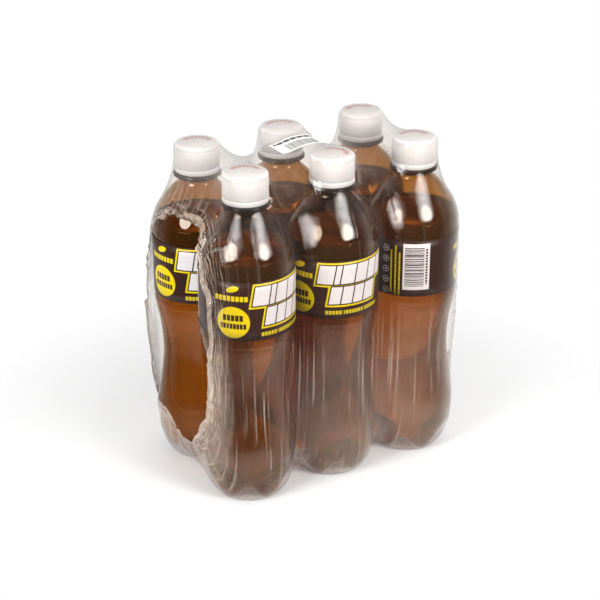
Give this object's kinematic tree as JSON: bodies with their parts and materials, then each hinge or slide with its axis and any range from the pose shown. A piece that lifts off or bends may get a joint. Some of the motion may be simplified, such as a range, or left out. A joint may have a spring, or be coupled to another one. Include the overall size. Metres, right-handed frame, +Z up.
{
  "type": "case of ginger beer bottles",
  "caption": "Case of ginger beer bottles: amber plastic bottles with white screw caps and dark wrap-round labels, held together by clear shrink film that is open at both ends.",
  "frame": {"origin": "middle of the case's underside, on the floor under the film", "axes": "+X along the longer row of bottles, +Y across the case from its front row to its back row, +Z up"},
  "size_m": [0.2062, 0.136, 0.2359],
  "materials": {
    "amber_plastic": "clear amber, glossy",
    "ginger_drink": "clear brown liquid",
    "label_print": "printed film, satin",
    "white_plastic": "moulded, satin",
    "clear_film": "clear, glossy, wrinkled",
    "sticker_paper": "printed paper"
  },
  "bodies": {
    "root": {"bottle_1": "amber_plastic", "bottle_2": "amber_plastic", "bottle_3": "amber_plastic", "bottle_4": "amber_plastic", "bottle_5": "amber_plastic", "bottle_6": "amber_plastic", "drink_1": "ginger_drink", "drink_2": "ginger_drink", "drink_3": "ginger_drink", "drink_4": "ginger_drink", "drink_5": "ginger_drink", "drink_6": "ginger_drink", "label_1": "label_print", "label_2": "label_print", "label_3": "label_print", "label_4": "label_print", "label_5": "label_print", "label_6": "label_print", "cap_1": "white_plastic", "cap_2": "white_plastic", "cap_3": "white_plastic", "cap_4": "white_plastic", "cap_5": "white_plastic", "cap_6": "white_plastic", "film": "clear_film", "sticker": "sticker_paper"}
  },
  "joints": []
}
